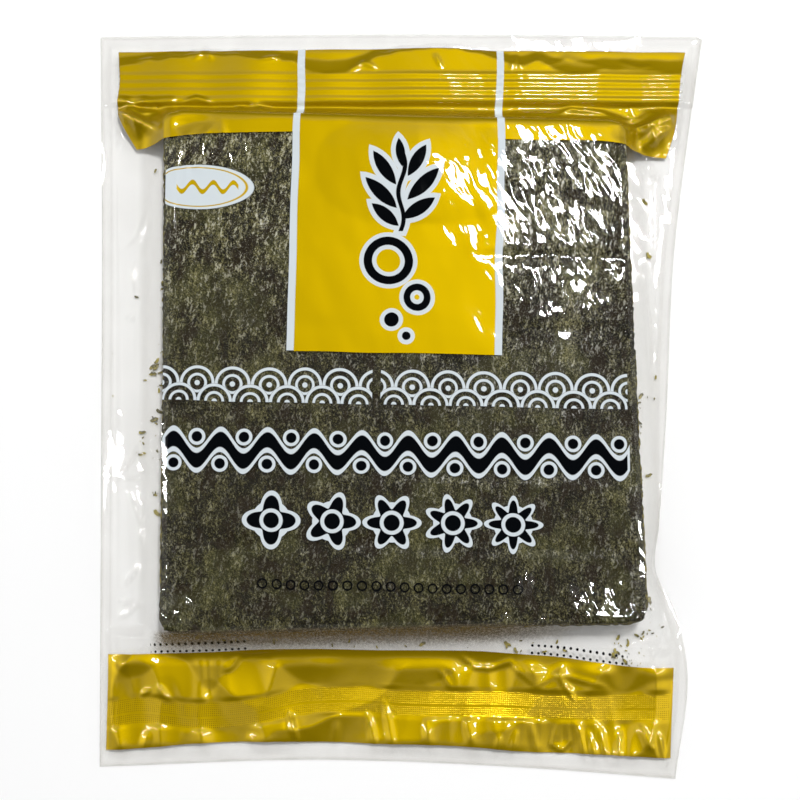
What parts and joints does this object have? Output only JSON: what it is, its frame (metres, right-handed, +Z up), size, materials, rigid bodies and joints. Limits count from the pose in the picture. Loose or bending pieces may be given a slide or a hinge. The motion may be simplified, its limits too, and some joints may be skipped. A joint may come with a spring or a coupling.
{
  "type": "bagged stack of roasted nori sheets",
  "caption": "Flat sealed zip bag of clear film with gold printed bands, lying on its back and filled with a square stack of roasted nori sheets.",
  "frame": {"origin": "middle of the bag's footprint, on the surface it lies on", "axes": "+X across the sheets, +Y from the sealed bottom band towards the zip, +Z up through the printed side"},
  "size_m": [0.2566, 0.3084, 0.0165],
  "materials": {
    "printed_film": "clear glossy film with gold, white and black ink",
    "clear_film": "clear glossy film",
    "nori": "roasted seaweed pressed into thin sheets, dark green, with fine fibres"
  },
  "bodies": {
    "root": {"sealed_bag": "printed_film"}
  },
  "joints": []
}
